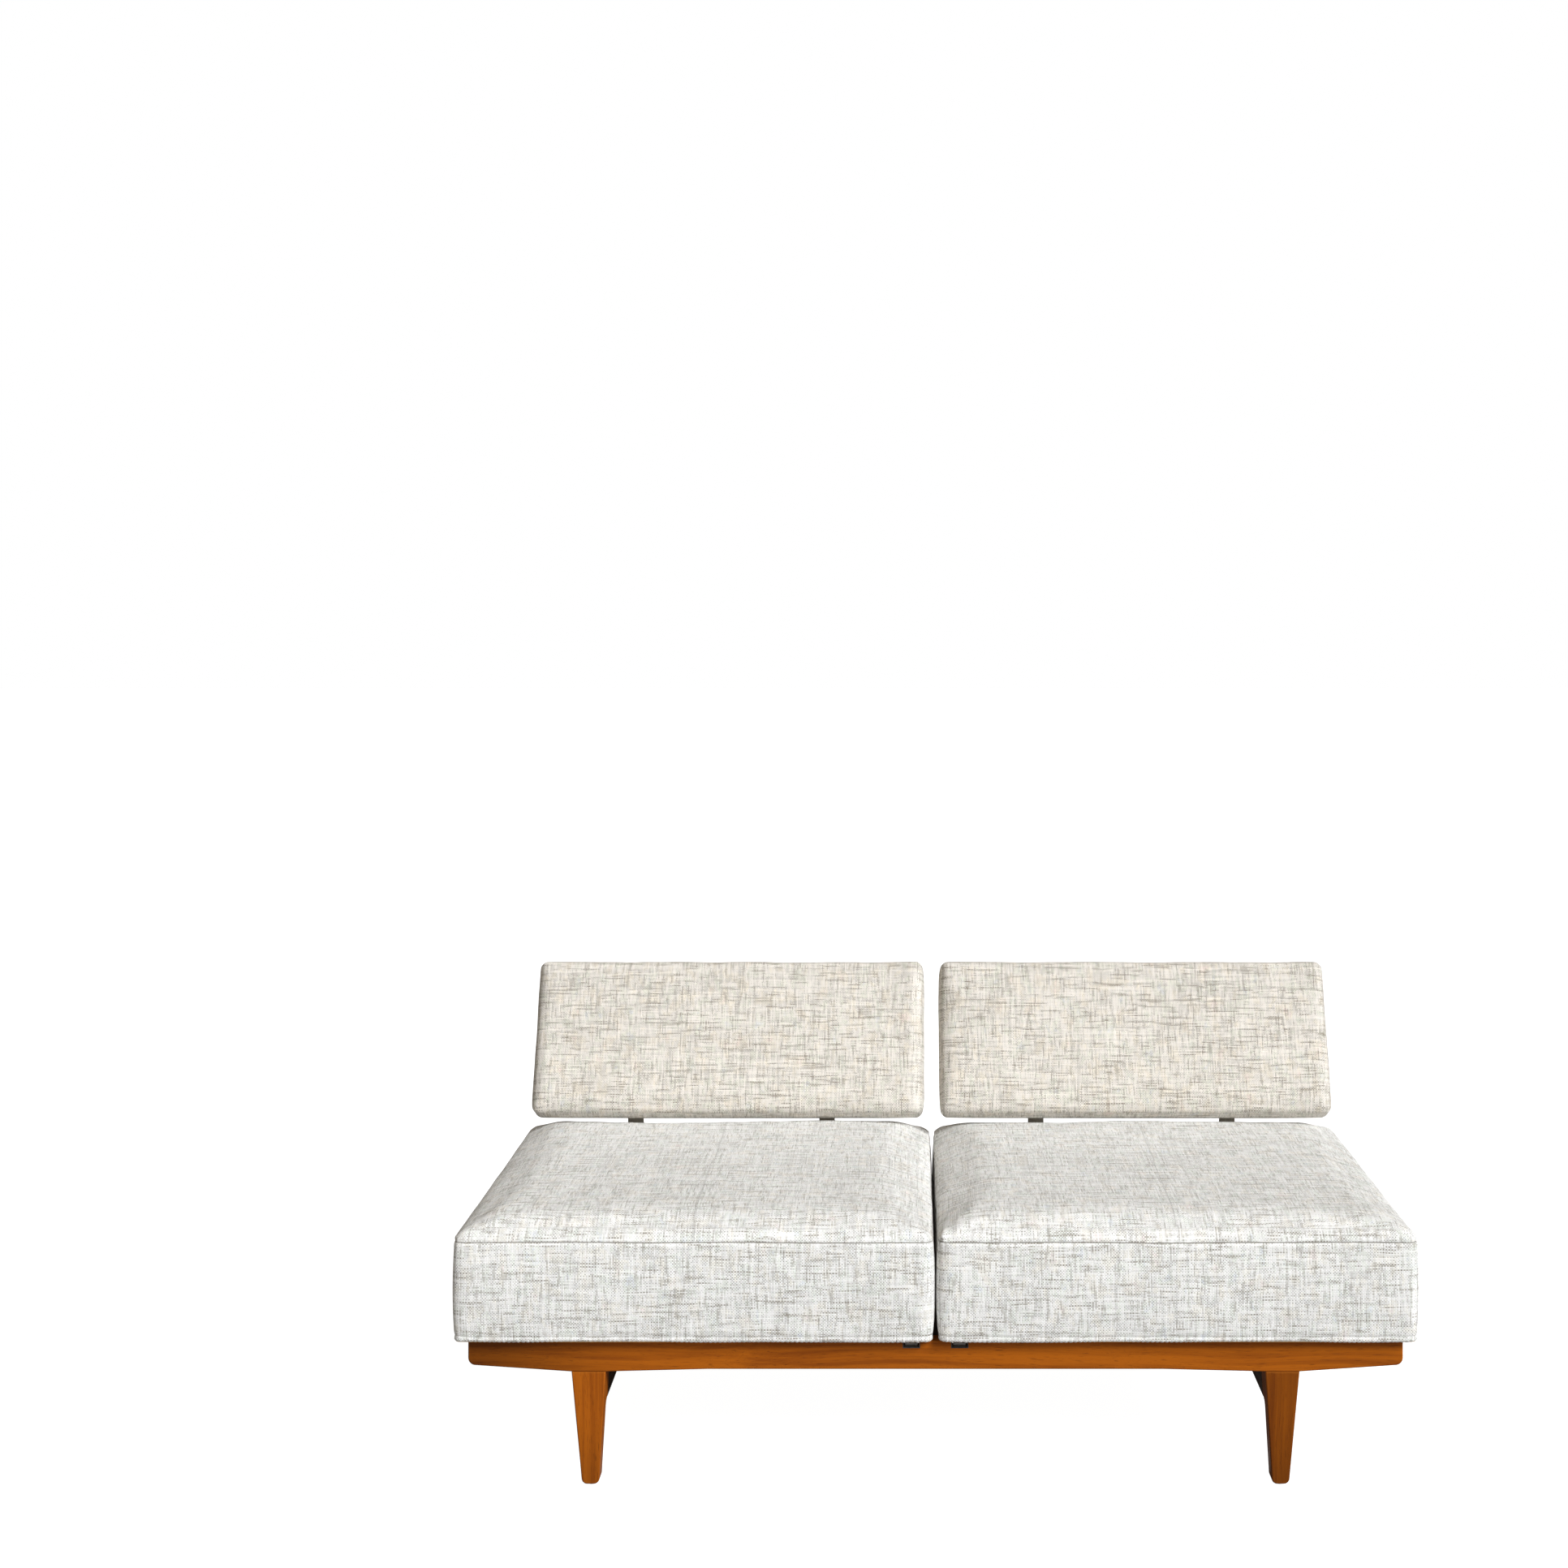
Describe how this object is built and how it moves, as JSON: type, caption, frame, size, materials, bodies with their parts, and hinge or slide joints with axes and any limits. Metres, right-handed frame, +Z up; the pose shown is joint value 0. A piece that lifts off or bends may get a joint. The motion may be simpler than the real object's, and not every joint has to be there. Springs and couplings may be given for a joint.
{
  "type": "daybed",
  "caption": "Wooden daybed whose upholstered sprung seats slide apart on rails, with lift-out padded backrests on steel arms.",
  "frame": {"origin": "on the floor, at the middle of the whole object's box seen from above", "axes": "+X to the right for someone who faces the front, +Y to the back, +Z up"},
  "size_m": [1.55, 0.8212, 0.7224],
  "materials": {
    "cherry_wood": "oiled, satin",
    "dark_wood": "stained dark, satin",
    "plain_wood": "planed, unfinished",
    "cover_fabric": "coarse woven wool",
    "dust_cloth": "thin cloth, matt",
    "padding": "fibre padding, matt",
    "felt": "pressed felt, matt",
    "spring_steel": "drawn wire, oiled",
    "plated_steel": "zinc plated, satin",
    "screw_steel": "zinc plated",
    "glide": "matt"
  },
  "bodies": {
    "frame": {"centre_stretcher": "dark_wood", "frame_dowels": "plain_wood", "front_left_leg": "cherry_wood", "front_rail": "cherry_wood", "front_right_leg": "cherry_wood", "left_cross_rail": "dark_wood", "left_inner_back_socket": "plated_steel", "left_outer_back_socket": "plated_steel", "leg_glides": "glide", "notch_liners": "plated_steel", "rear_left_leg": "cherry_wood", "rear_rail": "cherry_wood", "rear_right_leg": "cherry_wood", "right_cross_rail": "dark_wood", "right_inner_back_socket": "plated_steel", "right_outer_back_socket": "plated_steel", "socket_screws": "screw_steel"},
    "left_seat": {"left_front_base_rail": "plain_wood", "left_hook_screws": "screw_steel", "left_inner_base_rail": "plain_wood", "left_outer_base_rail": "plain_wood", "left_rear_base_rail": "plain_wood", "left_seat_border_pad": "felt", "left_seat_cover": "cover_fabric", "left_seat_dust_cover": "dust_cloth", "left_seat_felt": "felt", "left_seat_hooks": "plated_steel", "left_seat_runners": "plain_wood", "left_seat_slats": "plain_wood", "left_seat_springs": "spring_steel", "left_seat_topper": "padding", "left_spring_border_wires": "spring_steel"},
    "right_seat": {"right_front_base_rail": "plain_wood", "right_hook_screws": "screw_steel", "right_inner_base_rail": "plain_wood", "right_outer_base_rail": "plain_wood", "right_rear_base_rail": "plain_wood", "right_seat_border_pad": "felt", "right_seat_cover": "cover_fabric", "right_seat_dust_cover": "dust_cloth", "right_seat_felt": "felt", "right_seat_hooks": "plated_steel", "right_seat_runners": "plain_wood", "right_seat_slats": "plain_wood", "right_seat_springs": "spring_steel", "right_seat_topper": "padding", "right_spring_border_wires": "spring_steel"},
    "left_backrest": {"left_back_arm_screws": "screw_steel", "left_back_cover": "cover_fabric", "left_back_padding": "padding", "left_back_panel": "plain_wood", "left_inner_back_arm": "plated_steel", "left_outer_back_arm": "plated_steel"},
    "right_backrest": {"right_back_arm_screws": "screw_steel", "right_back_cover": "cover_fabric", "right_back_padding": "padding", "right_back_panel": "plain_wood", "right_inner_back_arm": "plated_steel", "right_outer_back_arm": "plated_steel"}
  },
  "joints": [
    {"name": "left_seat_slide", "type": "slide", "parent": "frame", "child": "left_seat", "axis": [-1, 0, 0], "range_m": [0, 0.295]},
    {"name": "right_seat_slide", "type": "slide", "parent": "frame", "child": "right_seat", "axis": [1, 0, 0], "range_m": [0, 0.295]},
    {"name": "left_back_lift", "type": "slide", "parent": "frame", "child": "left_backrest", "axis": [0, 0, 1], "range_m": [0, 0.12]},
    {"name": "right_back_lift", "type": "slide", "parent": "frame", "child": "right_backrest", "axis": [0, 0, 1], "range_m": [0, 0.12]}
  ]
}
